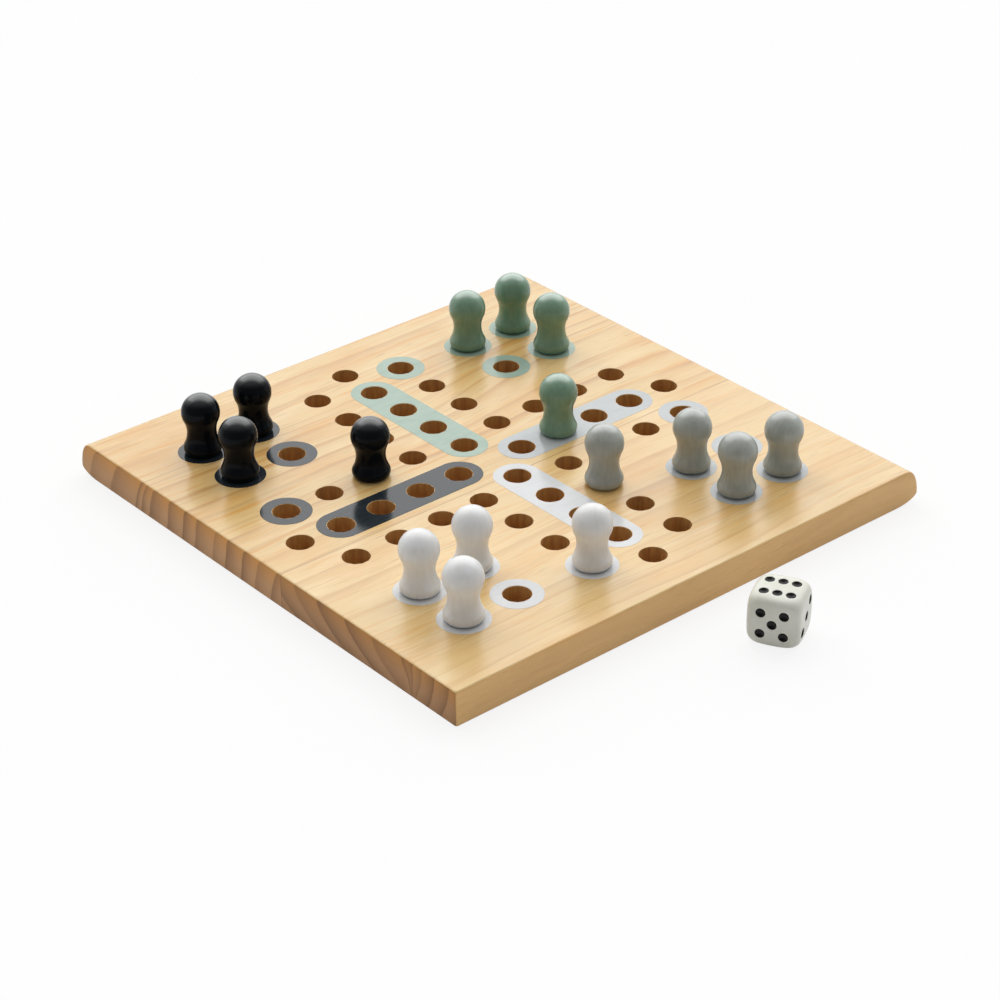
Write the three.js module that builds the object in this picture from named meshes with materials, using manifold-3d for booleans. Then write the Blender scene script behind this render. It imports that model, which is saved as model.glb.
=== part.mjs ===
// A pegged ludo board: two pine planks glued edge to edge and drilled with blind holes,
// sixteen turned pawns whose pegs stand in the holes, and one die beside the board.
// Millimetres. The origin is on the underside, below the crossing of the four lanes.
// +X runs along the grain, +Z is up.

import * as THREE from 'three';
import { mergeVertices } from 'three/addons/utils/BufferGeometryUtils.js';
import { RoundedBoxGeometry } from 'three/addons/geometries/RoundedBoxGeometry.js';
import Module from 'manifold-3d';

const wasm = await Module();
wasm.setup();

// Board
const boardLength = 183;
const boardWidth = 183.4;
const boardThickness = 11.5;

// Layout of the track, measured from the crossing of the lanes. The board's sides set the lane
// step, and the step sets the rest.
const laneStep = 0.08188 * (boardLength + boardWidth) / 2;
const laneHoles = 4;
const rowHoles = 4;
const laneStart = 0.84 * laneStep; // first lane hole
const armEnd = 4.847 * laneStep; // track hole past the lane's end
const rowOffset = 1.127 * laneStep; // lane to the track row beside it
const rowStep = 1.073 * laneStep;
const homeCentre = 3.54 * laneStep; // middle of a home square, along X and along Y
const homeSpacing = 1.3 * laneStep;
const seamOffset = 0.7 * laneStep; // the glue line, towards the plain long side
const plainEndOffset = 0.4798 * boardLength;
const plainSideOffset = 0.4869 * boardWidth;

// Rounded nose on the two far edges: an upper and a lower quarter ellipse
const noseReach = 5;
const noseDrop = 8.6;
const noseUndercut = 13.5;
const noseSteps = 4;

// Drilling
const holeDiameter = 8.5;
const holeDepth = 8;
const holeSides = 16;

// Pawn
const headDiameter = 12;
const headHeight = 13.3; // shoulder to the middle of the head
const waistDiameter = 9.15;
const baseDiameter = 11.9;
const heelRadius = 2.4;
const heelTuck = THREE.MathUtils.degToRad(37.2); // how far the heel turns in below its widest
const shoulderLift = 0.5; // the peg stands on the hole's floor, so the shoulder clears the board
const pegClearance = 0.25;
const pegEndClearance = 0.1;
const pegChamfer = 0.6;
const pawnSides = 16;
const headSteps = 5;
const coveSteps = 5;
const heelSteps = 2;

// Die
const dieSide = 16;
const dieRounding = 2.6;
const dieRoundingSteps = 3;
const pipDiameter = 2.8;
const pipDepth = 0.55;
const pipSpacing = 3.6;
const pipSides = 10;
const dieAside = 10; // crossing to the die, along the grain
const dieBefore = 24.8; // plain long side to the die's middle
const dieTurn = THREE.MathUtils.degToRad(-61);

const cutOverrun = 1;

// Places worked out from the sizes above
const endX = -plainEndOffset;
const noseX = endX + boardLength;
const plainY = -plainSideOffset;
const noseY = plainY + boardWidth;
const holeRadius = holeDiameter / 2;

const finishes = {
  pine: { color: 0xe3c596, roughness: 0.55, metalness: 0 },
  black: { color: 0x14171b, roughness: 0.25, metalness: 0 },
  green: { color: 0x7fa391, roughness: 0.45, metalness: 0 },
  white: { color: 0xe2e1df, roughness: 0.45, metalness: 0 },
  grey: { color: 0x9da3a1, roughness: 0.45, metalness: 0 },
  ivory: { color: 0xdcdcd4, roughness: 0.3, metalness: 0 },
};

function solidOf(geometry) {
  const bare = geometry.index ? geometry.toNonIndexed() : geometry.clone();
  bare.deleteAttribute('normal');
  bare.deleteAttribute('uv');
  const merged = mergeVertices(bare);
  const corners = merged.index.array;
  const kept = [];
  for (let i = 0; i < corners.length; i += 3) {
    const [a, b, c] = corners.slice(i, i + 3);
    if (a !== b && b !== c && c !== a) kept.push(a, b, c);
  }
  return new wasm.Manifold(
    new wasm.Mesh({
      numProp: 3,
      vertProperties: new Float32Array(merged.attributes.position.array),
      triVerts: new Uint32Array(kept),
    })
  );
}

function geometryOf(solid) {
  const mesh = solid.getMesh();
  const geometry = new THREE.BufferGeometry();
  geometry.setAttribute('position', new THREE.BufferAttribute(mesh.vertProperties, 3));
  geometry.setIndex(new THREE.BufferAttribute(mesh.triVerts, 1));
  geometry.computeVertexNormals();
  return geometry;
}

function namedMesh(name, geometry, finish) {
  const mesh = new THREE.Mesh(geometry, new THREE.MeshStandardMaterial(finishes[finish]));
  mesh.name = name;
  return mesh;
}

// Section of the board across one nose: square at the near side, rounded at the far side
function noseSection(near, far) {
  const turn = boardThickness - noseDrop;
  const section = new THREE.Shape();
  section.moveTo(near, 0);
  section.lineTo(far - noseUndercut, 0);
  section.absellipse(far - noseUndercut, turn, noseUndercut, turn, -Math.PI / 2, 0, false);
  section.absellipse(far - noseReach, turn, noseReach, noseDrop, 0, Math.PI / 2, false);
  section.lineTo(near, boardThickness);
  return section;
}

function extruded(section, length) {
  return new THREE.ExtrudeGeometry(section, {
    depth: length,
    bevelEnabled: false,
    curveSegments: noseSteps,
  });
}

// The board before drilling is what two router passes leave: one nose along X, one along Y
function boardBlank() {
  const alongGrain = extruded(noseSection(plainY, noseY), boardLength);
  alongGrain.rotateX(Math.PI / 2);
  alongGrain.rotateZ(Math.PI / 2);
  alongGrain.translate(endX, 0, 0);
  const acrossGrain = extruded(noseSection(endX, noseX), boardWidth);
  acrossGrain.rotateX(Math.PI / 2);
  acrossGrain.translate(0, noseY, 0);
  return solidOf(alongGrain).intersect(solidOf(acrossGrain));
}

// The four arms, each with the turn that leads from the arm to its own home corner
const sets = [
  { colour: 'black', arm: [-1, 0], freeHome: [1, -1], inPlay: [-rowOffset - rowStep, rowOffset] },
  { colour: 'green', arm: [0, 1], freeHome: [-1, -1], inPlay: [laneStart + laneStep, 0] },
  { colour: 'grey', arm: [1, 0], freeHome: [1, 1], inPlay: [rowOffset, -rowOffset - rowStep] },
  { colour: 'white', arm: [0, -1], freeHome: [1, -1], inPlay: startPlace([0, -1]) },
];

// A place so far along an arm and so far beside it, on the side of the arm's home
function armPlace([armX, armY], along, beside) {
  return [armX * along + armY * beside, armY * along - armX * beside];
}

function startPlace(arm) {
  return armPlace(arm, rowOffset + (rowHoles - 1) * rowStep, rowOffset);
}

function homePlaces(arm) {
  const [middleX, middleY] = armPlace(arm, homeCentre, homeCentre);
  const half = homeSpacing / 2;
  const corners = [[-1, -1], [-1, 1], [1, -1], [1, 1]];
  return corners.map(([x, y]) => ({ corner: [x, y], place: [middleX + x * half, middleY + y * half] }));
}

function armHoles(arm) {
  const places = [armPlace(arm, armEnd, 0)];
  for (let i = 0; i < laneHoles; i++) places.push(armPlace(arm, laneStart + i * laneStep, 0));
  for (let i = 0; i < rowHoles; i++) {
    const along = rowOffset + i * rowStep;
    places.push(armPlace(arm, along, rowOffset));
    if (i > 0) places.push(armPlace(arm, along, -rowOffset));
  }
  homePlaces(arm).forEach(({ place }) => places.push(place));
  return places;
}

function drillAt([x, y]) {
  const length = holeDepth + cutOverrun;
  const drill = new THREE.CylinderGeometry(holeRadius, holeRadius, length, holeSides);
  drill.rotateX(Math.PI / 2);
  drill.translate(x, y, boardThickness - holeDepth + length / 2);
  return solidOf(drill);
}

function drilledBoard() {
  const drills = sets.flatMap(({ arm }) => armHoles(arm)).map(drillAt);
  return boardBlank().subtract(drills.reduce((all, drill) => all.add(drill)));
}

// The glued halves: everything on the plain side of the seam, and the rest
function planks() {
  const lowY = plainY - cutOverrun;
  const frontWidth = -seamOffset - lowY;
  const frontSpace = new THREE.BoxGeometry(
    boardLength + 2 * cutOverrun,
    frontWidth,
    boardThickness + 2 * cutOverrun
  );
  frontSpace.translate((endX + noseX) / 2, lowY + frontWidth / 2, boardThickness / 2);
  const board = drilledBoard();
  const front = solidOf(frontSpace);
  return [
    namedMesh('plank_front', geometryOf(board.intersect(front)), 'pine'),
    namedMesh('plank_rear', geometryOf(board.subtract(front)), 'pine'),
  ];
}

function arc(centreR, centreZ, radius, from, to, steps) {
  const points = [];
  for (let i = 0; i <= steps; i++) {
    const angle = from + ((to - from) * i) / steps;
    points.push(new THREE.Vector2(centreR + radius * Math.cos(angle), centreZ + radius * Math.sin(angle)));
  }
  return points;
}

// Radius of the hollow arc that touches the head above it, the heel below it and the waist between
// them. The rise from the heel's centre to the head's is the sum of the rises to the waist's height,
// and each of these is the side of a right triangle whose other sides hold the sought radius.
function coveRadiusFor(headRadius, waistRadius, baseRadius, rise) {
  const headOver = headRadius - waistRadius;
  const baseOver = baseRadius - waistRadius;
  const heelSpan = 2 * heelRadius - baseOver;
  const rest = rise ** 2 - headOver * (headRadius + waistRadius - heelSpan);
  const half = rise * Math.sqrt(baseOver);
  const root = rest / (half + Math.sqrt(half ** 2 + (headOver - baseOver) * rest));
  return (root ** 2 - heelSpan) / 2;
}

// Turned outline from the peg's end up to the crown: a round head, a hollow cove that runs tangent
// into it and into the rounded heel below, a flat shoulder and a chamfered peg
function pawnOutline() {
  const headRadius = headDiameter / 2;
  const waistRadius = waistDiameter / 2;
  const baseRadius = baseDiameter / 2;
  const heelR = baseRadius - heelRadius;
  const heelHeight = heelRadius * Math.sin(heelTuck);
  const coveRadius = coveRadiusFor(headRadius, waistRadius, baseRadius, headHeight - heelHeight);
  const coveR = waistRadius + coveRadius;
  const neckHeight = Math.sqrt((headRadius + coveRadius) ** 2 - coveR ** 2);
  const waistHeight = headHeight - neckHeight;
  const headMeetsCove = Math.atan2(-neckHeight, coveR);
  const heelMeetsCove = Math.atan2(waistHeight - heelHeight, coveR - heelR);

  const pegRadius = holeRadius - pegClearance;
  const pegEnd = -(holeDepth + shoulderLift - pegEndClearance);
  const peg = [
    new THREE.Vector2(0, pegEnd),
    new THREE.Vector2(pegRadius - pegChamfer, pegEnd),
    new THREE.Vector2(pegRadius, pegEnd + pegChamfer),
    new THREE.Vector2(pegRadius, 0),
  ];
  const heel = arc(heelR, heelHeight, heelRadius, -heelTuck, heelMeetsCove, heelSteps);
  const cove = arc(
    coveR, waistHeight, coveRadius, Math.PI + heelMeetsCove, Math.PI + headMeetsCove, coveSteps
  );
  const head = arc(0, headHeight, headRadius, headMeetsCove, Math.PI / 2, headSteps);
  const outline = [...peg, ...heel, ...cove.slice(1, -1), ...head];
  outline.at(-1).x = 0;
  return outline;
}

function pawn(name, [x, y], colour) {
  const turned = new THREE.LatheGeometry(pawnOutline(), pawnSides);
  turned.rotateX(Math.PI / 2);
  const mesh = namedMesh(name, geometryOf(solidOf(turned)), colour);
  mesh.position.set(x, y, boardThickness + shoulderLift);
  return mesh;
}

function pawnsOf({ colour, arm, freeHome, inPlay }) {
  const taken = homePlaces(arm).filter(({ corner }) => corner.some((side, i) => side !== freeHome[i]));
  const places = [...taken.map(({ place }) => place), inPlay];
  return places.map((place, i) => pawn(`pawn_${colour}_${i + 1}`, place, colour));
}

// Pips on a face lie on a square grid: steps along `across`, and along the direction square to it
const onePip = [[0, 0]];
const twoPips = [[-1, -1], [1, 1]];
const fourPips = [...twoPips, [-1, 1], [1, -1]];
const dieFaces = [
  { out: [0, 0, 1], across: [1, 0, 0], pips: [...fourPips, [0, -1], [0, 1]] },
  { out: [0, 0, -1], across: [1, 0, 0], pips: onePip },
  { out: [0, -1, 0], across: [1, 0, 0], pips: [...fourPips, ...onePip] },
  { out: [0, 1, 0], across: [1, 0, 0], pips: twoPips },
  { out: [1, 0, 0], across: [0, 1, 0], pips: [...twoPips, ...onePip] },
  { out: [-1, 0, 0], across: [0, 1, 0], pips: fourPips },
];

function pipCutters({ out, across, pips }) {
  const pipRadius = pipDiameter / 2;
  const ballRadius = (pipRadius ** 2 + pipDepth ** 2) / (2 * pipDepth);
  const outward = new THREE.Vector3(...out);
  const along = new THREE.Vector3(...across);
  const beside = new THREE.Vector3().crossVectors(outward, along);
  const turn = new THREE.Matrix4().makeBasis(along, outward, beside.clone().negate());
  return pips.map(([stepAlong, stepBeside]) => {
    const middle = outward.clone().multiplyScalar(dieSide / 2 + ballRadius - pipDepth);
    middle.addScaledVector(along, stepAlong * pipSpacing);
    middle.addScaledVector(beside, stepBeside * pipSpacing);
    const ball = new THREE.SphereGeometry(ballRadius, pipSides, pipSides / 2);
    ball.applyMatrix4(turn);
    ball.translate(middle.x, middle.y, middle.z);
    return solidOf(ball);
  });
}

function die() {
  const block = new RoundedBoxGeometry(dieSide, dieSide, dieSide, dieRoundingSteps, dieRounding);
  const cutters = dieFaces.flatMap(pipCutters);
  const pipped = solidOf(block).subtract(cutters.reduce((all, cutter) => all.add(cutter)));
  const mesh = namedMesh('die', geometryOf(pipped), 'ivory');
  mesh.position.set(dieAside, plainY - dieBefore, dieSide / 2);
  mesh.rotation.z = dieTurn;
  return mesh;
}

const game = new THREE.Group();
game.add(...planks(), ...sets.flatMap(pawnsOf), die());

export default game;
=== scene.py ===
import math

import bmesh
import bpy
import numpy as np
from mathutils import Matrix, Vector
from mathutils.geometry import delaunay_2d_cdt


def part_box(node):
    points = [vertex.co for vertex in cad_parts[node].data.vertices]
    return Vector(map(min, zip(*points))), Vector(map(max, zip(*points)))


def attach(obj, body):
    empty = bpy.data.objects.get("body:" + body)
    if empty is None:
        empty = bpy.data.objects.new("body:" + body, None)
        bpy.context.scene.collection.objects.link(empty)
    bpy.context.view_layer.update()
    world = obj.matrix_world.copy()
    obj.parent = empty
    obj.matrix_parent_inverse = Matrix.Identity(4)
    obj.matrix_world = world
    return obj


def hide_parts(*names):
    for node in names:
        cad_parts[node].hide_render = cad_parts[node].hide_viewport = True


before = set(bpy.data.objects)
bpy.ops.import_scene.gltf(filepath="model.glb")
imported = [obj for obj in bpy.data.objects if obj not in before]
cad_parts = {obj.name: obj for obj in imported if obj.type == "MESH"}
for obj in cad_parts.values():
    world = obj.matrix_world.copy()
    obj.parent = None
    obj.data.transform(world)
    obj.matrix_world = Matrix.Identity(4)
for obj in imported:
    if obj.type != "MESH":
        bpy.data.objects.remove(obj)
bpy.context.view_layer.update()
mm = 0.001
print("frame loaded:", len(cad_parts), "nodes")


# Node maths. A Signal is a socket that adds its own nodes when it is used in an expression.
class Signal:
    def __init__(self, finish, socket):
        self.finish = finish
        self.socket = socket

    def maths(self, operation, *others):
        kind = "ShaderNodeMath"
        if self.socket.type in ("VECTOR", "RGBA"):
            kind = "ShaderNodeVectorMath"
        return self.finish.node(kind, {"operation": operation}, dict(enumerate((self,) + others)))

    def flipped(self, operation, other):
        return self.finish.node("ShaderNodeMath", {"operation": operation}, {0: other, 1: self})

    def __add__(self, other):
        return self.maths("ADD", other)

    def __sub__(self, other):
        return self.maths("SUBTRACT", other)

    def __mul__(self, other):
        return self.maths("MULTIPLY", other)

    def __truediv__(self, other):
        return self.maths("DIVIDE", other)

    def __pow__(self, other):
        return self.maths("POWER", other)

    def __rsub__(self, other):
        return self.flipped("SUBTRACT", other)

    def __rtruediv__(self, other):
        return self.flipped("DIVIDE", other)

    __radd__ = __add__
    __rmul__ = __mul__

    def smooth(self, low, high, start=0.0, end=1.0):
        settings = {"interpolation_type": "SMOOTHSTEP"}
        return self.finish.node(
            "ShaderNodeMapRange", settings, {0: self, 1: low, 2: high, 3: start, 4: end}
        )

    def clamped(self):
        return self.finish.node("ShaderNodeClamp", {}, {0: self})


# The nodes of one material, or of the world. node() takes a node's type, settings and sockets.
class Finish:
    def __init__(self, block):
        self.block = block
        block.use_nodes = True
        self.tree = block.node_tree
        self.tree.nodes.clear()

    def node(self, kind, settings=None, inputs=None, output=0):
        made = self.tree.nodes.new(kind)
        for key, value in (settings or {}).items():
            if key == "stops":
                self.setStops(made.color_ramp, value)
            else:
                setattr(made, key, value)
        for key, value in (inputs or {}).items():
            socket = made.inputs[key]
            if isinstance(value, Signal):
                self.tree.links.new(value.socket, socket)
            else:
                socket.default_value = self.fitted(value, socket)
        return Signal(self, made.outputs[output]) if len(made.outputs) else None

    def setStops(self, ramp, stops):  # a stop is a place on the ramp and a grey level
        while len(ramp.elements) < len(stops):
            ramp.elements.new(0.5)
        for element, (place, level) in zip(ramp.elements, stops):
            element.position = place
            element.color = (level, level, level, 1)

    def fitted(self, value, socket):
        if socket.type == "RGBA":
            return tuple(value) + (1,)
        if socket.type == "VECTOR" and not hasattr(value, "__len__"):
            return (value,) * 3
        return value

    def place(self):  # object coordinates in millimetres
        return self.node("ShaderNodeTexCoord", output="Object") * 1000

    def parts(self, vector):
        split = self.tree.nodes.new("ShaderNodeSeparateXYZ")
        self.tree.links.new(vector.socket, split.inputs[0])
        return [Signal(self, out) for out in split.outputs]

    def joined(self, x, y, z):
        return self.node("ShaderNodeCombineXYZ", {}, {0: x, 1: y, 2: z})

    def noise(self, place, stretch, detail=2.0, roughness=0.5):
        sockets = {"Vector": place * stretch, "Scale": 1.0, "Detail": detail, "Roughness": roughness}
        return self.node("ShaderNodeTexNoise", {}, sockets)

    def blend(self, factor, first, second):
        return self.node("ShaderNodeMix", {"data_type": "RGBA"}, {0: factor, 6: first, 7: second}, 2)

    def attribute(self, name):
        return self.node("ShaderNodeAttribute", {"attribute_name": name}, {}, "Fac")

    def normal(self):
        return self.node("ShaderNodeNewGeometry", output="Normal")

    def bump(self, height, strength, distance):
        sockets = {"Height": height, "Strength": strength, "Distance": distance * mm}
        return self.node("ShaderNodeBump", {}, sockets)

    def surface(self, **sockets):
        named = {key.replace("_", " "): value for key, value in sockets.items()}
        shader = self.node("ShaderNodeBsdfPrincipled", {}, named)
        self.node("ShaderNodeOutputMaterial", {}, {"Surface": shader})
        return self.block


def newFinish(name):
    return Finish(bpy.data.materials.new(name))


def srgb(red, green, blue):  # screen colour, 0 to 255, as the linear value that nodes take
    levels = [level / 255 for level in (red, green, blue)]
    return tuple(v / 12.92 if v <= 0.04045 else ((v + 0.055) / 1.055) ** 2.4 for v in levels)


# Quads between the rows of a grid of points, the first of which has the given number. A closed
# grid's last column joins its first.
def gridQuads(first, rows, columns, closed=True):
    row, column = np.meshgrid(
        np.arange(rows - 1), np.arange(columns if closed else columns - 1), indexing="ij")
    after = (column + 1) % columns
    quads = np.stack(
        [row * columns + column, row * columns + after,
         (row + 1) * columns + after, (row + 1) * columns + column], axis=-1)
    return first + quads.reshape(-1, 4)


# Cosines and sines of so many even steps round a circle
def unitCircle(sides):
    angles = np.arange(sides) * 2 * math.pi / sides
    return np.stack([np.cos(angles), np.sin(angles)], axis=-1)


# Triangles of the flat area inside one outline and outside the holes in it, by Delaunay's rule
def flatTriangles(plan, loops, holeCentres, holeRadius):
    edges = np.concatenate([np.stack([loop, np.roll(loop, -1)], axis=1) for loop in loops])
    used = np.concatenate(loops)
    rank = np.full(len(plan), -1)
    rank[used] = np.arange(len(used))
    corners = [Vector(point) for point in plan[used]]
    insideOnly, nearness = 1, 1e-7
    found = delaunay_2d_cdt(corners, rank[edges].tolist(), [], insideOnly, nearness)
    faces, origins = found[2:4]
    back = used[np.array([origin[0] for origin in origins])]
    triangles = back[np.array(faces)]
    middles = plan[triangles].mean(axis=1)
    inHole = np.zeros(len(triangles), bool)
    if len(holeCentres):
        gaps = np.linalg.norm(middles[:, None] - np.array(holeCentres)[None], axis=2)
        inHole = gaps.min(axis=1) < holeRadius
    return triangles[~inHole]


# A finished piece from points in millimetres and groups of faces. The shading is smooth within a
# group and creased between two groups.
def makePiece(name, points, groups, material, marks=None):
    mesh = bpy.data.meshes.new(name)
    corners = np.concatenate([np.asarray(faces).reshape(-1) for faces in groups])
    sizes = np.concatenate([np.full(len(faces), np.shape(faces)[1]) for faces in groups])
    numbers = np.concatenate([np.full(len(faces), i) for i, faces in enumerate(groups)])
    mesh.vertices.add(len(points))
    mesh.vertices.foreach_set("co", (np.asarray(points) * mm).astype(np.float32).ravel())
    mesh.loops.add(len(corners))
    mesh.loops.foreach_set("vertex_index", corners.astype(np.int32))
    mesh.polygons.add(len(sizes))
    mesh.polygons.foreach_set("loop_start", np.append(0, np.cumsum(sizes)[:-1]).astype(np.int32))
    mesh.update(calc_edges=True)
    mesh.polygons.foreach_set("use_smooth", np.ones(len(sizes), bool))
    edgeOf = np.zeros(len(corners), np.int32)
    mesh.loops.foreach_get("edge_index", edgeOf)
    perCorner = np.repeat(numbers, sizes)
    lowest = np.full(len(mesh.edges), len(groups))
    highest = np.full(len(mesh.edges), -1)
    np.minimum.at(lowest, edgeOf, perCorner)
    np.maximum.at(highest, edgeOf, perCorner)
    crease = mesh.attributes.new("sharp_edge", "BOOLEAN", "EDGE")
    crease.data.foreach_set("value", lowest != highest)
    for mark, values in (marks or {}).items():
        field = mesh.attributes.new(mark, "FLOAT", "POINT")
        field.data.foreach_set("value", np.asarray(values, np.float32))
    mesh.validate()
    mesh.materials.append(material)
    piece = bpy.data.objects.new(name, mesh)
    bpy.context.scene.collection.objects.link(piece)
    return piece


# Camera at the photograph's place, solved from the hole pattern and the outline of the board
cameraValues = {
    "azimuth": -40.08,
    "elevation": 30.68,
    "roll": -0.61,
    "distance": 834.6,
    "target": (-13.26, -20.04, 11.5),
    "lens": 100.6,
    "sensor": 36,
}


def makeCamera(values):
    azimuth, elevation, roll = (
        math.radians(values[key]) for key in ("azimuth", "elevation", "roll"))
    back = Vector((math.sin(azimuth) * math.cos(elevation),
                   -math.cos(azimuth) * math.cos(elevation), math.sin(elevation)))
    right = Vector((math.cos(azimuth), math.sin(azimuth), 0))
    up = back.cross(right)
    rolledRight = right * math.cos(roll) + up * math.sin(roll)
    rolledUp = up * math.cos(roll) - right * math.sin(roll)
    lens = bpy.data.cameras.new("camera")
    lens.lens = values["lens"]
    lens.sensor_width = values["sensor"]
    camera = bpy.data.objects.new("camera", lens)
    turn = Matrix((rolledRight, rolledUp, back)).transposed().to_4x4()
    place = (Vector(values["target"]) + back * values["distance"]) * mm
    camera.matrix_world = Matrix.Translation(place) @ turn
    bpy.context.scene.collection.objects.link(camera)
    bpy.context.scene.camera = camera


makeCamera(cameraValues)
print("camera placed")


# Light: a sky with one wide soft band that stands above and behind the board, as the line on the
# glossy heads shows, over a fill that is dim on the camera's side and brighter to both sides.
# A direction points from -1, straight towards the camera's side, to 1, straight behind the board.
skyValues = {
    "bandHeight": 46,  # degrees above the horizon behind the board
    "bandStart": 0.72,  # cosines of the angle from the middle of the band
    "bandFull": 1.0,
    "bandSpread": 0.8,  # the smaller, the further the band reaches to both sides
    "band": 2.3,
    "front": 0.25,
    "sides": 0.45,
    "frontUntil": -0.9,
    "sidesFrom": -0.1,
    "backdropEdge": 0.1,
}


def directlySeen(finish):  # 1 for camera, mirror and glass rays
    kinds = ("Is Camera Ray", "Is Glossy Ray", "Is Transmission Ray")
    camera, glossy, glass = (finish.node("ShaderNodeLightPath", output=kind) for kind in kinds)
    return camera.maths("MAXIMUM", glossy).maths("MAXIMUM", glass)


def makeSky(values, azimuth):
    finish = Finish(bpy.data.worlds.new("sky"))
    direction = finish.node("ShaderNodeTexCoord", output="Generated")
    x, y, z = finish.parts(direction)
    behind = y * math.cos(math.radians(azimuth)) - x * math.sin(math.radians(azimuth))
    height = math.radians(values["bandHeight"])
    upright = ((behind * behind + z * z) ** 0.5).maths("MAXIMUM", values["bandSpread"])
    toBand = (behind * math.cos(height) + z * math.sin(height)) / upright
    band = toBand.smooth(values["bandStart"], values["bandFull"]) * values["band"]
    fill = behind.smooth(
        values["frontUntil"], values["sidesFrom"], values["front"], values["sides"])
    edge = values["backdropEdge"]
    backdrop = directlySeen(finish) * behind.smooth(-edge, edge)
    light = (fill + band).maths("MAXIMUM", backdrop)
    camera = finish.node("ShaderNodeLightPath", output="Is Camera Ray")
    plainWhite = 1
    shown = finish.node("ShaderNodeMix", {}, {0: camera, 2: light, 3: plainWhite})
    sky = finish.node("ShaderNodeBackground", {}, {"Color": (1, 1, 1), "Strength": shown})
    finish.node("ShaderNodeOutputWorld", {}, {"Surface": sky})
    bpy.context.scene.world = finish.block


floorValues = {
    "side": 3000,
    "colour": (0.86, 0.86, 0.86),
    "cloud": (0.8, 0.8, 0.8),
    "cloudNoise": (0.004, 3.0),  # steps to a millimetre, and detail
    "cloudShare": 0.1,
    "roughness": 0.9,
    "glow": 0.85,  # share of plain white that the camera sees in the floor
}


def makeFloor(values):
    half = values["side"] / 2
    points = np.array([[-half, -half, 0], [half, -half, 0], [half, half, 0], [-half, half, 0]])
    finish = newFinish("floorWhite")
    cloud = finish.noise(finish.place(), *values["cloudNoise"])
    colour = finish.blend(cloud * values["cloudShare"], values["colour"], values["cloud"])
    sockets = {"Base Color": colour, "Roughness": values["roughness"]}
    body = finish.node("ShaderNodeBsdfPrincipled", {}, sockets)
    glow = finish.node("ShaderNodeEmission", {}, {"Color": (1, 1, 1), "Strength": 1.0})
    share = directlySeen(finish) * values["glow"]
    seen = finish.node("ShaderNodeMixShader", {}, {0: share, 1: body, 2: glow})
    finish.node("ShaderNodeOutputMaterial", {}, {"Surface": seen})
    floor = makePiece("floor", points, [np.array([[0, 1, 2, 3]])], finish.block)


makeSky(skyValues, cameraValues["azimuth"])
makeFloor(floorValues)
bpy.context.scene.view_settings.view_transform = "Standard"
print("light and floor made")


# Pine under a thin lacquer. A pair of numbers is the range over which something grows from none to
# all, or the weights of a ring's broad late wood and of the dark line at its end. A noise is given
# by its steps to a millimetre, its detail and its roughness.
pineValues = {
    "early": srgb(220, 187, 126),
    "pale": srgb(230, 202, 150),
    "amber": srgb(213, 152, 63),
    "late": srgb(182, 127, 57),
    # The plain side's colours are lighter than the top's: painted light that makes up for the dimmer
    # light on the side.
    "sideEarlyPaintedLight": srgb(236, 190, 124),
    "sideLatePaintedLight": srgb(208, 154, 92),
    "endEarly": srgb(206, 158, 111),
    "endLate": srgb(126, 82, 42),
    # The amber towards the top of the end faces is painted light: the warmer tone of the light caught
    # by their upper part.
    "endTopPaintedLight": srgb(216, 148, 59),
    "bore": srgb(203, 158, 97),
    "boreDark": srgb(174, 126, 74),
    "fleck": srgb(112, 70, 38),
    "roughness": 0.3,
    "roughFibre": 0.12,  # how far the fibre moves the roughness, and what sawing and drilling add
    "roughSawn": 0.2,
    "roughDrilled": 0.3,
    "gloss": 0.3,
    "lacquerDrift": 0.2,
    "sideBare": 0.85,  # share of the lacquer that the plain side lacks
    "bump": 0.2,
    "bumpDepth": 0.08,
    "reliefFibre": 0.5,
    "reliefLine": 0.3,
    "reliefPores": 0.9,
    "facing": (0.3, 0.8),  # squared part of the normal that points along the grain or across it
    "broad": (0.1, 0.9),  # from one ring to the next
    "line": (0.66, 0.92),
    "ringEnd": 0.93,
    "ringsAlong": (0.25, 0.6),
    "ringsSawn": (0.66, 0.22),
    "weakestRing": 0.5,  # each ring has its own strength, from this to 1
    "fade": ((0.018, 0.06, 0.06), 2.0, 0.5),  # the rings fade in and out along the grain
    "fadeShown": (0.3, 0.7),
    "faded": 0.3,  # what is left of a faded ring, and the least of it on an end face
    "fadedSawn": 0.8,
    "pores": ((0.8, 4.0, 4.0), 3.0, 0.7),
    "poresShown": (0.45, 0.8),
    "poresShade": 0.3,
    "drilled": ((0.7, 0.7, 0.12), 3.0, 0.6),
    "drilledShown": (0.3, 0.75),
    "glueEdge": (0.05, 0.22),  # distance from the seam's plane in millimetres
    "glueShade": 0.55,
    "endPaintedLightFrom": 0.3,  # share of the thickness at which an end face starts to turn amber
    "endPaintedLightShare": 0.8,
    "pithReach": 3,  # millimetres to both sides of the pith in which the rings change their lean
    "driftBefore": -0.25,
}

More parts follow.
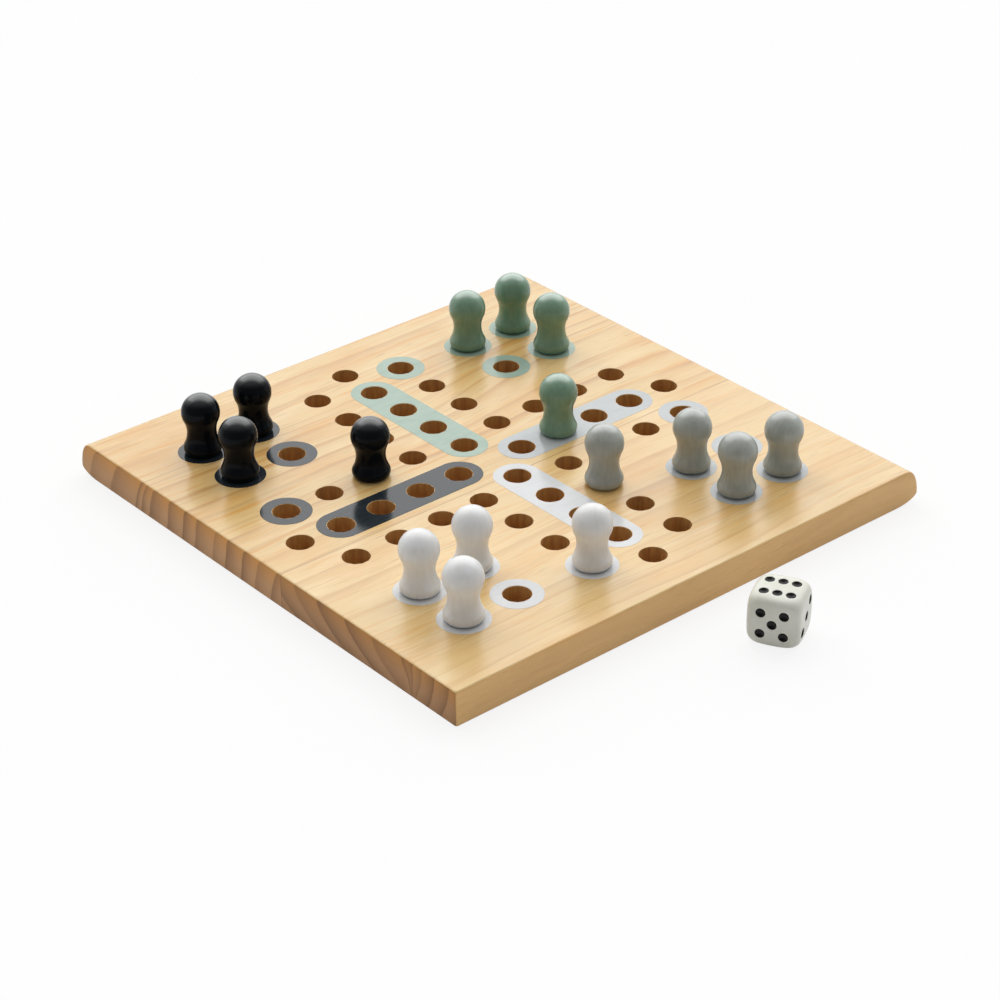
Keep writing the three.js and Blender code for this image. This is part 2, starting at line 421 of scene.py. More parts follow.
# Rings cross each plank as measured on its end face: "lines" are the places of the dark late wood
# across the board at the top, with the ring number of each one
plankGrain = {
    "plank_front": {
        "lines": [(-92, 5), (-86.6, 4), (-80.7, 3), (-75.4, 2), (-71.6, 1), (-69.5, 0.5),
                  (-66.3, 1), (-52.9, 2), (-41.1, 3), (-28.2, 4), (-17.5, 5), (-6, 6), (8, 7)],
        "pith": -69.5,
        "lean": 13.0,  # sideways drift of a ring from the top face to the bottom
        "curve": 1.8,
        "figure": 0.6,
        # painted shade: the front plank's end face is darkened towards the late wood colour
        "endPaintedShade": 0.3,
        "lacquer": 0.57,
        "lacquerRoughness": 0.26,
        "swell": {"middle": -82, "reach": 14, "rise": 3, "start": 0, "end": 70},
    },
    "plank_rear": {
        "lines": [(-18, 0), (-10, 1), (-1.5, 2), (6.1, 3), (14.7, 4), (21.1, 5), (30.5, 6),
                  (36.7, 7), (43.9, 8), (52.7, 9), (56.5, 10), (59.2, 11), (72.6, 12),
                  (84.1, 13), (97, 14)],
        "pith": -400,
        "lean": -4.8,
        "curve": 0.6,
        "figure": 1.0,
        "endPaintedShade": 0.0,
        "lacquer": 0.42,
        "lacquerRoughness": 0.18,
        "swell": {"middle": 40, "reach": 24, "rise": 12, "start": -12, "end": 62},
    },
}

# Waves that carry the rings sideways: steps of the noise to a millimetre, detail, and reach in mm
ringWaves = [((0.011, 0.018, 0.03), 1.0, 8), ((0.035, 0.12, 0.12), 2.0, 1.4)]

# Noises that are drawn along the grain and follow the rings
grainNoises = {
    "patch": ((0.022, 0.08, 0.08), 3.0, 0.55),
    "cloud": ((0.03, 0.13, 0.13), 2.0, 0.5),
    "streak": ((0.025, 0.4, 0.4), 3.0, 0.6),
    "hair": ((0.04, 2.0, 2.0), 1.0, 0.5),
    "fibre": ((0.12, 5.0, 5.0), 2.0, 0.6),
    "fleck": ((0.085, 3.4, 3.4), 0.0, 0.5),
}

# Layers of figure below and above the rings: the noise, the range of it that shows, the weight on
# the top, the weight on the plain side, whether it goes with the plank's figure, and the colour
layersUnder = [
    ("cloud", (0.5, 0.75), 0.7, 0.0, False, "pale"),
    ("patch", (0.44, 0.7), 0.5, 0.2, True, "amber"),
    ("streak", (0.52, 0.7), 0.7, 0.2, True, "amber"),
]
layersOver = [
    ("hair", (0.64, 0.72), 0.4, 0.4, False, "dark"),
    ("fibre", (0.45, 0.8), 0.1, 0.1, False, "fleck"),
    ("fleck", (0.73, 0.8), 0.4, 0.1, False, "fleck"),
]


# Ring number at a point: the place across the board is drawn sideways with depth, lifted where the
# grain swells round a hidden knot and waved along the grain, then looked up among the lines
def ringNumber(finish, place, grain, thickness):
    x, y, z = finish.parts(place)
    depth = ((thickness - z) / thickness).clamped()
    drift = (depth ** grain["curve"]) * grain["lean"]
    turn = pineValues["pithReach"]
    way = (y - grain["pith"]).smooth(-turn, turn, pineValues["driftBefore"], 1.0)
    swell = grain["swell"]
    off = (y - swell["middle"]) / swell["reach"]
    bell = 1 / (off * off + 1)
    lift = bell * bell * x.smooth(swell["start"], swell["end"]) * swell["rise"]
    across = y + drift * way - lift
    for stretch, detail, reach in ringWaves:
        across = across + (finish.noise(place, stretch, detail) - 0.5) * reach
    low, high = grain["lines"][0][0], grain["lines"][-1][0]
    top = max(number for line, number in grain["lines"])
    stops = [((line - low) / (high - low), number / top) for line, number in grain["lines"]]
    ramp = finish.node("ShaderNodeValToRGB", {"stops": stops}, {0: (across - low) / (high - low)})
    return finish.parts(ramp)[0] * top, across


def laidOn(finish, colour, layers, noises, tints, side, figure):
    for key, shown, onTop, onSide, figured, tint in layers:
        weight = noises[key].smooth(*shown) * (onTop - side * (onTop - onSide))
        if figured:
            weight = weight * figure
        colour = finish.blend(weight, colour, tints[tint])
    return colour


# Three kinds of surface: "along" the grain on the top and the plain side, "sawn" on the end faces,
# and the "walls" of the holes
def pineMaterial(name, values, grain, board):
    finish = newFinish(name)
    place = finish.place()
    x, y, z = finish.parts(place)
    nx, ny = finish.parts(finish.normal())[:2]
    end, side = (nx * nx).smooth(*values["facing"]), (ny * ny).smooth(*values["facing"])
    bore = finish.attribute("bore")

    ring, across = ringNumber(finish, place, grain, board["thickness"])
    phase = ring.maths("FRACT")
    edge = phase.smooth(values["ringEnd"], 1.0, 1.0, 0.0)
    broad, line = phase.smooth(*values["broad"]) * edge, phase.smooth(*values["line"]) * edge
    vary = finish.node(
        "ShaderNodeTexWhiteNoise", {"noise_dimensions": "1D"}, {"W": ring.maths("FLOOR")})
    fade = finish.noise(place, *values["fade"])
    left = fade.smooth(*values["fadeShown"], values["faded"])
    left = left.maths("MAXIMUM", end * values["fadedSawn"])
    strength = (vary * (1 - values["weakestRing"]) + values["weakestRing"]) * left

    inRings = finish.joined(x, across, z)
    noises = {key: finish.noise(inRings, *noise) for key, noise in grainNoises.items()}
    # Painted light: the plain side takes the lighter side colour of the late wood.
    dark = finish.blend(side, values["late"], values["sideLatePaintedLight"])
    tints = {"pale": values["pale"], "amber": values["amber"], "fleck": values["fleck"], "dark": dark}
    figure = grain["figure"]
    # Painted light: the plain side takes the lighter side colour of the early wood.
    along = finish.blend(side, values["early"], values["sideEarlyPaintedLight"])
    along = laidOn(finish, along, layersUnder, noises, tints, side, figure)
    onBroad, onLine = values["ringsAlong"]
    along = finish.blend(strength * (broad * onBroad + line * onLine) * figure, along, dark)
    along = laidOn(finish, along, layersOver, noises, tints, side, figure)

    pores = finish.noise(place, *values["pores"])
    # Painted light: the end face turns amber towards the top.
    upper = z.smooth(board["thickness"] * values["endPaintedLightFrom"], board["thickness"])
    sawn = finish.blend(upper * values["endPaintedLightShare"], values["endEarly"], values["endTopPaintedLight"])
    # Painted shade: each plank's end face is darkened by its share of the late wood colour.
    sawn = finish.blend(grain["endPaintedShade"], sawn, values["endLate"])
    onBroad, onLine = values["ringsSawn"]
    sawn = finish.blend(strength * (broad * onBroad + line * onLine), sawn, values["endLate"])
    shaded = pores.smooth(*values["poresShown"]) * values["poresShade"]
    sawn = finish.blend(shaded, sawn, values["endLate"])

    drilled = finish.noise(place, *values["drilled"]).smooth(*values["drilledShown"])
    walls = finish.blend(drilled, values["bore"], values["boreDark"])

    colour = finish.blend(bore, finish.blend(end, along, sawn), walls)
    fromSeam = (y - board["seamPlace"]).maths("ABSOLUTE")
    glue = fromSeam.smooth(*values["glueEdge"], values["glueShade"], 0.0)
    colour = finish.blend(glue, colour, values["endLate"])
    fibre = noises["fibre"]
    rough = (fibre - 0.5) * values["roughFibre"] + values["roughness"]
    rough = rough + end * values["roughSawn"] + bore * values["roughDrilled"]
    height = fibre * values["reliefFibre"] + line * strength * values["reliefLine"]
    height = height + pores * (end + bore) * values["reliefPores"]
    onTop = (1 - side * values["sideBare"]).clamped() * (1 - end).clamped() * (1 - bore).clamped()
    return finish.surface(
        Base_Color=colour, Roughness=rough, Specular_IOR_Level=values["gloss"],
        Coat_Weight=onTop * ((fade - 0.5) * values["lacquerDrift"] + grain["lacquer"]),
        Coat_Roughness=grain["lacquerRoughness"],
        Normal=finish.bump(height, values["bump"], values["bumpDepth"]))


# Board. Sizes in millimetres, the same as the solids'.
laneStep = 15.0004  # between two holes of a lane
boardValues = {
    "thickness": 11.5,
    "holeDiameter": 8.5,
    "holeDepth": 8,
    "rimRounding": 0.12,
    "floorRounding": 0.5,
    "dimple": 0.5,
    "dimpleRadius": 1.1,
    "dimpleEdge": 0.2,  # width of the ring that eases the floor into the dimple
    "dimpleLip": 0.03,  # how far that ring sinks
    "pointRadius": 0.3,
    "holeSides": 48,
    "arris": 0.7,
    "arrisSteps": 5,
    "cornerRadius": 0.7,
    "cornerSteps": 7,
    "seamPlace": -0.7 * laneStep,
    "noseReach": 5,
    "noseDrop": 8.6,
    "noseUndercut": 13.5,
    "noseSteps": 14,
}

# Holes of one arm, as distances from the lane crossing along the arm and beside it
layoutValues = {
    "laneFirst": 0.84 * laneStep,
    "rowAside": 1.127 * laneStep,
    "rowStep": 1.073 * laneStep,
    "armEnd": 4.847 * laneStep,
    "homeMiddle": 3.54 * laneStep,
    "homeGap": 1.3 * laneStep,
    "holesInRow": 4,
}

# Directions of the arms from the lane crossing
armOf = {"black": (-1, 0), "green": (0, 1), "grey": (1, 0), "white": (0, -1)}


# Places so far along an arm and so far beside it, towards the arm's home
def armPlaces(arm, along, beside):
    along, beside = np.broadcast_arrays(np.asarray(along, float), np.asarray(beside, float))
    return np.stack([arm[0] * along + arm[1] * beside, arm[1] * along - arm[0] * beside], axis=-1)


def homeHoles(arm, layout):
    middle = armPlaces(arm, layout["homeMiddle"], layout["homeMiddle"])
    return middle + np.array([(-1, -1), (-1, 1), (1, -1), (1, 1)]) * layout["homeGap"] / 2


def laneHoles(arm, layout):
    return armPlaces(arm, layout["laneFirst"] + laneStep * np.arange(layout["holesInRow"]), 0)


def startHole(arm, layout):
    rowEnd = layout["rowAside"] + (layout["holesInRow"] - 1) * layout["rowStep"]
    return armPlaces(arm, rowEnd, layout["rowAside"])


def armHoles(arm, layout):
    aside = layout["rowAside"]
    row = aside + layout["rowStep"] * np.arange(layout["holesInRow"])
    return np.concatenate([
        armPlaces(arm, [layout["armEnd"]], 0), laneHoles(arm, layout), armPlaces(arm, row, aside),
        armPlaces(arm, row[1:], -aside), homeHoles(arm, layout)])


# Inset of an edge that is rounded off by a quarter circle at the top and at the bottom
def arrisInset(height, thickness, radius):
    near = np.clip(radius - np.minimum(height, thickness - height), 0, radius)
    return radius - np.sqrt(radius ** 2 - near ** 2)


# Inset of a nosed edge: a quarter ellipse above its widest level and a flatter one below it
def noseInset(height, values):
    turn = values["thickness"] - values["noseDrop"]
    above = np.clip((height - turn) / values["noseDrop"], 0, 1)
    below = np.clip((turn - height) / turn, 0, 1)
    upper = values["noseReach"] * (1 - np.sqrt(1 - above ** 2))
    lower = values["noseUndercut"] * (1 - np.sqrt(1 - below ** 2))
    return upper + lower


# Heights of the levels at which the edges are cut, closest where an edge turns
def edgeLevels(values):
    turn, thickness = values["thickness"] - values["noseDrop"], values["thickness"]
    angles = np.linspace(0, math.pi / 2, values["noseSteps"] + 1)
    levels = [turn * (1 - np.cos(angles)), turn + values["noseDrop"] * np.sin(angles)]
    bend = values["arris"] * (1 - np.sin(np.linspace(0, math.pi / 2, values["arrisSteps"])))
    levels += [bend, thickness - bend]
    levels.append([2 * values["arris"], thickness - 2 * values["arris"]])
    return np.unique(np.round(np.concatenate(levels), 4))


# Outline of a rectangle with rounded corners at each level, anticlockwise. Two more points beside
# each corner, a radius away from it, keep its shading off the flat sides.
def rectangleRings(x0, x1, y0, y1, radius, steps):
    quarter = np.radians(np.linspace(0, 90, steps))
    rings = []
    corners = [(x0, y0, 180, 1, 1), (x1, y0, 270, -1, 1), (x1, y1, 0, -1, -1), (x0, y1, 90, 1, -1)]
    for x, y, turn, inX, inY in corners:
        angles = quarter + math.radians(turn)
        ringX = (x + inX * radius)[:, None] + radius * np.cos(angles)[None]
        ringY = (y + inY * radius)[:, None] + radius * np.sin(angles)[None]
        before = radius * np.array([math.sin(angles[0]), -math.cos(angles[0])])
        after = radius * np.array([-math.sin(angles[-1]), math.cos(angles[-1])])
        ringX = np.concatenate([ringX[:, :1] + before[0], ringX, ringX[:, -1:] + after[0]], axis=1)
        ringY = np.concatenate([ringY[:, :1] + before[1], ringY, ringY[:, -1:] + after[1]], axis=1)
        rings.append(np.stack([ringX, ringY], axis=-1))
    return np.concatenate(rings, axis=1)


# Half section of a drilled hole, as radii and heights: a quarter circle at the rim, the wall, a
# quarter circle at the floor, and a cone from the flat floor to the point of the drill. The wall's
# two rings keep the shading of both quarter circles off it.
def boreSection(values):
    top, radius = values["thickness"], values["holeDiameter"] / 2
    floor = top - values["holeDepth"]
    rim, foot = values["rimRounding"], values["floorRounding"]
    bend = np.linspace(0, math.pi / 2, values["arrisSteps"])
    rimR, rimZ = radius + rim * (1 - np.sin(bend)), top - rim * (1 - np.cos(bend))
    wallR, wallZ = np.full(2, radius), np.array([top - 3 * rim, floor + 2 * foot])
    footR, footZ = radius - foot * (1 - np.cos(bend)), floor + foot * (1 - np.sin(bend))
    inner = values["dimpleRadius"]
    tipR = np.array([inner + values["dimpleEdge"], inner, values["pointRadius"]])
    tipZ = floor - np.array([0, values["dimpleLip"], values["dimple"]])
    return np.concatenate([rimR, wallR, footR, tipR]), np.concatenate([rimZ, wallZ, footZ, tipZ])


# The whole board before it is parted at the seam: stacked outlines round its edge, a ring grid in
# each hole, and flat triangles above and below. "deep" grows from 0 at the top to 1 below a rim.
def boardShape(low, high, values):
    levels = edgeLevels(values)
    thickness = values["thickness"]
    plain = arrisInset(levels, thickness, values["arris"])
    nose = noseInset(levels, values)
    rings = rectangleRings(low.x + plain, high.x - nose, low.y + plain, high.y - nose,
                           values["cornerRadius"], values["cornerSteps"])
    around = rings.shape[1]
    wall = np.concatenate([rings, np.broadcast_to(
        levels[:, None, None], rings.shape[:2] + (1,))], axis=-1).reshape(-1, 3)
    centres = np.concatenate([armHoles(arm, layoutValues) for arm in armOf.values()])
    boreR, boreZ = boreSection(values)
    circle = unitCircle(values["holeSides"])
    bore = centres[:, None, None] + boreR[None, :, None, None] * circle[None, None]
    height = np.broadcast_to(boreZ[None, :, None, None], bore.shape[:3] + (1,))
    bore = np.concatenate([bore, height], axis=-1)
    perHole = len(boreR) * len(circle)
    firsts = len(wall) + perHole * np.arange(len(centres))
    tips = len(wall) + perHole * len(centres) + np.arange(len(centres))
    tipZ = thickness - values["holeDepth"] - values["dimple"]
    tipPoints = np.concatenate([centres, np.full((len(centres), 1), tipZ)], axis=1)
    points = np.concatenate([wall, bore.reshape(-1, 3), tipPoints])
    topLoop = np.arange(around) + (len(levels) - 1) * around
    rims = [first + np.arange(len(circle)) for first in firsts]
    top = flatTriangles(points[:, :2], [topLoop] + rims, centres, values["holeDiameter"] / 2)
    bottom = flatTriangles(points[:, :2], [np.arange(around)], [], 0)[:, ::-1]
    sides = gridQuads(0, len(levels), around)
    bores = np.concatenate([gridQuads(first, len(boreR), len(circle)) for first in firsts])
    lastRing = firsts[:, None] + (len(boreR) - 1) * len(circle) + np.arange(len(circle))[None]
    fans = np.stack([lastRing, np.roll(lastRing, -1, axis=1),
                     np.broadcast_to(tips[:, None], lastRing.shape)], axis=-1).reshape(-1, 3)
    below = thickness - points[len(wall):, 2]
    deep = np.zeros(len(points))
    deep[len(wall):] = np.clip(below / values["rimRounding"], 0, 1)
    return points, [top, bottom, sides, bores, fans], deep


# Keeps what lies on one side of the glue line and closes the cut face
def partAtSeam(piece, place, side):
    shape = bmesh.new()
    shape.from_mesh(piece.data)
    everything = shape.verts[:] + shape.edges[:] + shape.faces[:]
    cut = bmesh.ops.bisect_plane(
        shape, geom=everything, plane_co=(0, place * mm, 0), plane_no=(0, side, 0),
        dist=1e-7, clear_inner=True)
    rim = [item for item in cut["geom_cut"] if isinstance(item, bmesh.types.BMEdge)]
    sheet = bmesh.ops.contextual_create(shape, geom=rim)["faces"]
    for face in sheet:
        face.normal_update()
        if face.normal.y * side > 0:
            face.normal_flip()
    bmesh.ops.triangulate(shape, faces=sheet, ngon_method="EAR_CLIP")
    for edge in rim:
        edge.smooth = False
    shape.to_mesh(piece.data)
    shape.free()


def makePlanks(values):
    low = Vector(map(min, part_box("plank_front")[0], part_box("plank_rear")[0])) / mm
    high = Vector(map(max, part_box("plank_front")[1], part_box("plank_rear")[1])) / mm
    points, groups, deep = boardShape(low, high, values)
    for name, side in (("plank_front", -1), ("plank_rear", 1)):
        pine = pineMaterial("pine_" + name, pineValues, plankGrain[name], values)
        plank = makePiece(name + "_wood", points, groups, pine, {"bore": deep})
        partAtSeam(plank, values["seamPlace"], side)
        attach(plank, "board")
        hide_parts(name)
    print("planks made")


makePlanks(boardValues)


# Paint. "tone" drifts over "colour" as streaks that are drawn along the piece, and "lacquer" is the
# weight of the clear coat that has run thicker where the surface faces up.
pawnPaint = {
    "black": {"colour": srgb(12, 16, 21), "tone": srgb(16, 19, 23),
              "roughness": 0.16, "gloss": 0.07, "lacquer": 1.0},
    "green": {"colour": srgb(122, 157, 132), "tone": srgb(104, 136, 112),
              "roughness": 0.21, "gloss": 0.5, "lacquer": 1.0},
    "grey": {"colour": srgb(168, 173, 167), "tone": srgb(147, 151, 143),
             "roughness": 0.24, "gloss": 0.5, "lacquer": 0.7},
    "white": {"colour": srgb(233, 234, 234), "tone": srgb(220, 219, 216),
              "roughness": 0.3, "gloss": 0.45, "lacquer": 0.2},
}
filmPaint = {
    "black": {"colour": srgb(30, 37, 42), "tone": srgb(45, 51, 55),
              "roughness": 0.14, "gloss": 0.33, "lacquer": 0},
    "green": {"colour": srgb(156, 178, 162), "tone": srgb(136, 160, 144),
              "roughness": 0.14, "gloss": 0.4, "lacquer": 0},
    "grey": {"colour": srgb(184, 188, 189), "tone": srgb(170, 174, 175),
             "roughness": 0.14, "gloss": 0.4, "lacquer": 0},
    "white": {"colour": srgb(210, 211, 212), "tone": srgb(198, 199, 200),
              "roughness": 0.14, "gloss": 0.4, "lacquer": 0},
}
coatValues = {
    "pawnStreaks": ((0.9, 0.9, 0.09), 3.0, 0.55),
    "filmStreaks": ((0.05, 1.2, 1.2), 3.0, 0.55),
    "broad": (0.13, 3.0, 0.6),
    "speck": (1.7, 3.0, 0.7),
    "streaksShown": (0.35, 0.75),
    "broadShown": (0.35, 0.7),
    "toneWeight": 0.4,  # of the streaks and of the broad noise
    "roughBroad": 0.08,
    "roughSpeck": 0.05,
    "reliefStreaks": 0.5,
    "reliefBroad": 0.6,
    "reliefSpeck": 0.15,
    "pooled": (0.55, 0.93),  # upward part of the normal, from no clear coat to all of it
    "lacquerRoughness": 0.14,
    "lacquerIndex": 1.65,
    "bump": 0.14,
    "bumpDepth": 0.1,
}


def paintMaterial(name, paint, streakNoise, values):
    finish = newFinish(name)
    place = finish.place()
    streaks = finish.noise(place, *streakNoise)
    broad = finish.noise(place, *values["broad"])
    speck = finish.noise(place, *values["speck"])
    shown = streaks.smooth(*values["streaksShown"]) + broad.smooth(*values["broadShown"])
    tint = finish.blend(shown * values["toneWeight"], paint["colour"], paint["tone"])
    rough = (broad - 0.5) * values["roughBroad"] + (speck - 0.5) * values["roughSpeck"]
    height = streaks * values["reliefStreaks"] + broad * values["reliefBroad"]
    height = height + speck * values["reliefSpeck"]
    upward = finish.parts(finish.normal())[2]
    return finish.surface(
        Base_Color=tint, Roughness=rough + paint["roughness"], Specular_IOR_Level=paint["gloss"],
        Coat_Weight=upward.smooth(*values["pooled"]) * paint["lacquer"],
        Coat_Roughness=values["lacquerRoughness"], Coat_IOR=values["lacquerIndex"],
        Normal=finish.bump(height, values["bump"], values["bumpDepth"]))


# Paint on the board: a thin film for each colour, with one lane and a ring round the start hole
# and round each home hole
filmValues = {
    "sunk": 0.02,
    "proud": 0.05,
    "edge": 0.02,
    "ringRadius": 7.85,
    "laneRadius": 7.45,
    "holeRadius": 4.38,
    "sides": 96,
}


# Circle, or a lane's outline: a half circle about each of its two end places, anticlockwise
def filmOutline(start, end, radius, sides):
    along = np.asarray(end, float) - np.asarray(start, float)
    heading = math.atan2(along[1], along[0])
    turns = np.arange(sides // 2) * 2 * math.pi / sides + heading - math.pi / 2
    half = radius * np.stack([np.cos(turns), np.sin(turns)], axis=-1)
    return np.concatenate([end + half, start - half])


# One patch of film: its outlines stand at the lower level and below the eased edge, and are drawn
# in by the edge at the top
def filmPatch(start, end, radius, holes, top, values):
    sides, edge = values["sides"], values["edge"]
    loops, drawn = [], []
    for inset, found in ((0, loops), (edge, drawn)):
        found.append(filmOutline(start, end, radius - inset, sides))
        found += [filmOutline(h, h, values["holeRadius"] + inset, sides) for h in holes]
    count = sides * len(loops)
    levels = [(loops, top - values["sunk"]), (loops, top + values["proud"] - edge),
              (drawn, top + values["proud"])]
    points = np.concatenate([
        np.concatenate([np.concatenate(plan), np.full((count, 1), z)], axis=1)
        for plan, z in levels])
    first = np.arange(count).reshape(-1, sides)
    after = np.roll(first, -1, axis=1)
    lower = np.stack([first, after, after + count, first + count], axis=-1)
    lower[1:] = lower[1:, :, ::-1]
    lower = lower.reshape(-1, 4)
    upper = lower + count
    topLoops = list(first + 2 * count)
    cover = flatTriangles(points[:, :2], topLoops, holes, values["holeRadius"])
    return points, [cover, lower, upper, (cover - 2 * count)[:, ::-1]]


def makeFilm(colour, arm, material, values):
    lane, homes = laneHoles(arm, layoutValues), homeHoles(arm, layoutValues)
    start = startHole(arm, layoutValues)
    top = boardValues["thickness"]
    patches = [filmPatch(lane[0], lane[-1], values["laneRadius"], lane, top, values)]
    for hole in [start] + list(homes):
        patches.append(filmPatch(hole, hole, values["ringRadius"], [hole], top, values))
    points, groups, count = [], [[], [], [], []], 0
    for places, faces in patches:
        points.append(places)
        for group, new in zip(groups, faces):
            group.append(new + count)
        count += len(places)
    merged = [np.concatenate(group) for group in groups]
    film = makePiece("film_" + colour, np.concatenate(points), merged, material)
    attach(film, "board")


def makeFilms(values):
    for colour, arm in armOf.items():
        coat = paintMaterial(
            "film_" + colour, filmPaint[colour], coatValues["filmStreaks"], coatValues)
        makeFilm(colour, arm, coat, values)
    print("paint films made")


makeFilms(filmValues)


# Pawns. The outline is the solids': a round head, a hollow cove that runs into it and into the
# rounded heel, a flat shoulder and a peg.
pawnValues = {
    "headRadius": 6.0,
    "headHeight": 13.3,
    "waistRadius": 4.575,
    "baseRadius": 5.95,
    "heelRadius": 2.4,
    "heelTuck": math.radians(37.2),
    "lift": 0.5,
    "pegRadius": 4.0,
    "pegChamfer": 0.6,
    "pegEnd": -8.4,
    "pegInnerRing": 0.4,
    "heelSteps": 10,
    "coveSteps": 24,
    "headSteps": 26,
    "sides": 64,
    "ofEachColour": 4,
}


def arcPoints(centreR, centreZ, radius, start, end, steps):
    angles = np.linspace(start, end, steps + 1)
    return np.stack([centreR + radius * np.cos(angles), centreZ + radius * np.sin(angles)], axis=-1)


# The cove touches the head, the heel and the waist between them, which fixes its radius: the rise
# from the heel's centre to the head's is the sum of two sides of right triangles that hold it
def coveRadius(values):
    over = values["headRadius"] - values["waistRadius"]
    under = values["baseRadius"] - values["waistRadius"]
    rise = values["headHeight"] - values["heelRadius"] * math.sin(values["heelTuck"])
    span = 2 * values["heelRadius"] - under
    rest = rise ** 2 - over * (values["headRadius"] + values["waistRadius"] - span)
    half = rise * math.sqrt(under)
    root = rest / (half + math.sqrt(half ** 2 + (over - under) * rest))
    return (root ** 2 - span) / 2


# Outline from the peg's end to the crown, as radii and heights over the shoulder
def pawnOutline(values):
    cove = coveRadius(values)
    coveR = values["waistRadius"] + cove
    neck = math.sqrt((values["headRadius"] + cove) ** 2 - coveR ** 2)
    heelR = values["baseRadius"] - values["heelRadius"]
    heelZ = values["heelRadius"] * math.sin(values["heelTuck"])
    waistZ = values["headHeight"] - neck
    headStart = math.atan2(-neck, coveR)
    heelEnd = math.atan2(waistZ - heelZ, coveR - heelR)
    radius, chamfer, end = values["pegRadius"], values["pegChamfer"], values["pegEnd"]
    peg = np.array([(values["pegInnerRing"], end), (radius - chamfer, end),
                    (radius, end + chamfer), (radius, 0)])
    heel = arcPoints(heelR, heelZ, values["heelRadius"], -values["heelTuck"], heelEnd,
                     values["heelSteps"])
    hollow = arcPoints(coveR, waistZ, cove, math.pi + heelEnd, math.pi + headStart,
                       values["coveSteps"])
    head = arcPoints(0, values["headHeight"], values["headRadius"], headStart, math.pi / 2,
                     values["headSteps"])
    body = np.concatenate([heel, hollow[1:-1], head[:-1]])
    return peg, body


# A turned form: the outline carried round the axis, closed by a fan at each end
def turnedShape(outline, topHeight, sides):
    circle = unitCircle(sides)
    rings = np.stack([outline[:, :1] * circle[:, 0], outline[:, :1] * circle[:, 1],
                      np.broadcast_to(outline[:, 1:], (len(outline), sides))], axis=-1)
    ends = np.array([(0, 0, outline[0, 1]), (0, 0, topHeight)])
    points = np.concatenate([rings.reshape(-1, 3), ends])
    low, count = np.arange(sides), len(outline) * sides
    high = low + count - sides
    after = np.roll(low, -1)
    bottom = np.stack([after, low, np.full(sides, count)], axis=-1)
    crown = np.stack([high, after + count - sides, np.full(sides, count + 1)], axis=-1)
    bands = gridQuads(0, len(outline), sides).reshape(len(outline) - 1, sides, 4)
    return points, bottom, bands, crown


def makePawns(values):
    peg, body = pawnOutline(values)
    top = values["headHeight"] + values["headRadius"]
    outline = np.concatenate([peg, body])
    points, bottom, bands, crown = turnedShape(outline, top, values["sides"])
    shoulder = len(peg) - 1
    creases = [0, 1, 2, shoulder, shoulder + 1, len(bands)]
    groups = [bottom]
    groups += [bands[low:high].reshape(-1, 4) for low, high in zip(creases, creases[1:])]
    groups.append(crown)
    foot = boardValues["thickness"] + values["lift"]
    for colour, paint in pawnPaint.items():
        coat = paintMaterial("paint_" + colour, paint, coatValues["pawnStreaks"], coatValues)
        for number in range(1, values["ofEachColour"] + 1):
            node = "pawn_" + colour + "_" + str(number)
            low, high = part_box(node)
            middle = (low + high) / 2 / mm
            placed = points + np.array([middle.x, middle.y, foot])
            pawn = makePiece(node + "_turned", placed, groups, coat)
            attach(pawn, node)
            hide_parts(node)
            "paint_" + colour
    print("pawns made")


makePawns(pawnValues)


# Die. Pips on each face: steps along "across" and along the direction square to it.
dieValues = {
    "halfSide": 8.0,
    "power": 7.5,
    "ballRadius": 11.6,
    "ballPower": 16.0,
    "turn": math.radians(-61),
    "pipRadius": 1.55,
    "pipDepth": 0.75,
    "cells": 96,
    "body": srgb(224, 224, 214),
    "shade": srgb(209, 210, 194),
    "ink": (0.003, 0.003, 0.003),
    "inkEdge": (-0.16, -0.02),  # distance from a pip's rim in millimetres, negative inside it
    "inkPolish": 0.07,  # how much smoother the ink is
    "gloss": 0.18,
    "roughness": 0.24,
    "roughScratch": 0.12,
    "bump": 0.06,
    "bumpDepth": 0.05,
    "cloud": (0.12, 2.0, 0.5),
    "cloudShown": (0.35, 0.7),
    "cloudShare": 0.5,
    "scratch": ((0.6, 3.0, 3.0), 3.0, 0.7),
}
cornerPips = [(-1, -1), (1, 1), (-1, 1), (1, -1)]
middlePip = [(0, 0)]
dieFaces = [
    {"out": (0, 0, 1), "across": (1, 0, 0), "spread": (3.95, 3.15),
     "pips": cornerPips + [(0, -1), (0, 1)]},
    {"out": (0, 0, -1), "across": (1, 0, 0), "spread": (3.5, 3.5), "pips": middlePip},
    {"out": (0, -1, 0), "across": (1, 0, 0), "spread": (3.4, 3.4), "pips": cornerPips + middlePip},
    {"out": (0, 1, 0), "across": (1, 0, 0), "spread": (3.5, 3.5), "pips": cornerPips[:2]},
    {"out": (1, 0, 0), "across": (0, 1, 0), "spread": (3.5, 3.5),
     "pips": cornerPips[:2] + middlePip},
    {"out": (-1, 0, 0), "across": (0, 1, 0), "spread": (3.5, 3.5), "pips": cornerPips},
]


def dieMaterial(values):
    finish = newFinish("diePlastic")
    place = finish.place()
    scratch = finish.noise(place, *values["scratch"])
    cloud = finish.noise(place, *values["cloud"]).smooth(*values["cloudShown"])
    shell = finish.blend(cloud * values["cloudShare"], values["body"], values["shade"])
    ink = finish.attribute("pipEdge").smooth(*values["inkEdge"], 1.0, 0.0)
    colour = finish.blend(ink, shell, values["ink"])
    rough = (scratch - 0.5) * values["roughScratch"] - ink * values["inkPolish"]
    return finish.surface(
        Base_Color=colour, Roughness=rough + values["roughness"],
        Specular_IOR_Level=values["gloss"],
        Normal=finish.bump(scratch, values["bump"], values["bumpDepth"]))


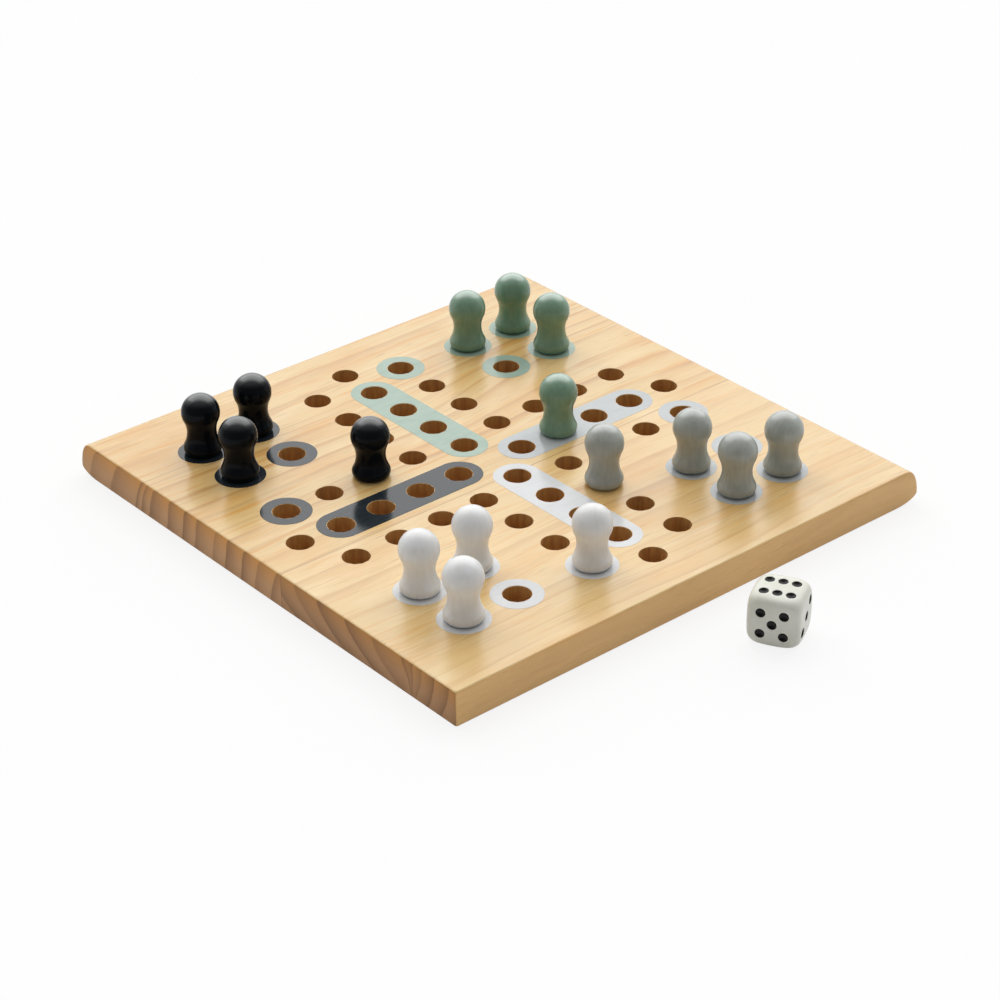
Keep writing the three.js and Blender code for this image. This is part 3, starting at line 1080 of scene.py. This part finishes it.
# One face: a square grid on a cube. Its points are drawn in until the powers of their coordinates
# add up to that of the half side, drawn in again where a ball cuts the corners, and sunk by a
# parabola at each pip.
def dieFace(face, values):
    out, across = np.array(face["out"], float), np.array(face["across"], float)
    beside = np.cross(out, across)
    steps = np.linspace(-1, 1, values["cells"] + 1)
    w, u = np.meshgrid(steps, steps, indexing="ij")
    cube = out + u[..., None] * across + w[..., None] * beside
    length = (np.abs(cube) ** values["power"]).sum(axis=-1, keepdims=True)
    points = values["halfSide"] * cube / length ** (1 / values["power"])
    reach = np.linalg.norm(points, axis=-1, keepdims=True) / values["ballRadius"]
    start = values["halfSide"] / values["ballRadius"]
    shrink = (1 + reach ** values["ballPower"]) / (1 + start ** values["ballPower"])
    points = points / shrink ** (1 / values["ballPower"])
    pips = np.array(face["pips"], float) * face["spread"]
    gapU = (points @ across)[..., None] - pips[:, 0]
    gapW = (points @ beside)[..., None] - pips[:, 1]
    fromPip = np.sqrt(gapU ** 2 + gapW ** 2).min(axis=-1)
    sink = values["pipDepth"] * np.clip(1 - (fromPip / values["pipRadius"]) ** 2, 0, None)
    return points - sink[..., None] * out, fromPip - values["pipRadius"]


def makeDie(values):
    size = values["cells"] + 1
    found = [dieFace(face, values) for face in dieFaces]
    points = np.concatenate([places.reshape(-1, 3) for places, gaps in found])
    fromRim = np.concatenate([gaps.ravel() for places, gaps in found])
    faces = np.concatenate([
        gridQuads(i * size * size, size, size, closed=False) for i in range(len(found))])
    first, back = np.unique(
        np.round(points, 4), axis=0, return_index=True, return_inverse=True)[1:]
    points, fromRim, faces = points[first], fromRim[first], back.ravel()[faces]
    cosine, sine = math.cos(values["turn"]), math.sin(values["turn"])
    turn = np.array([(cosine, -sine, 0), (sine, cosine, 0), (0, 0, 1)])
    low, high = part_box("die")
    middle = np.array((low + high) / 2 / mm)
    die = makePiece("die_cube", points @ turn.T + middle, [faces], dieMaterial(values),
                    {"pipEdge": np.clip(fromRim, -1, 1)})
    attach(die, "die")
    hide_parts("die")
    print("die made")


makeDie(dieValues)
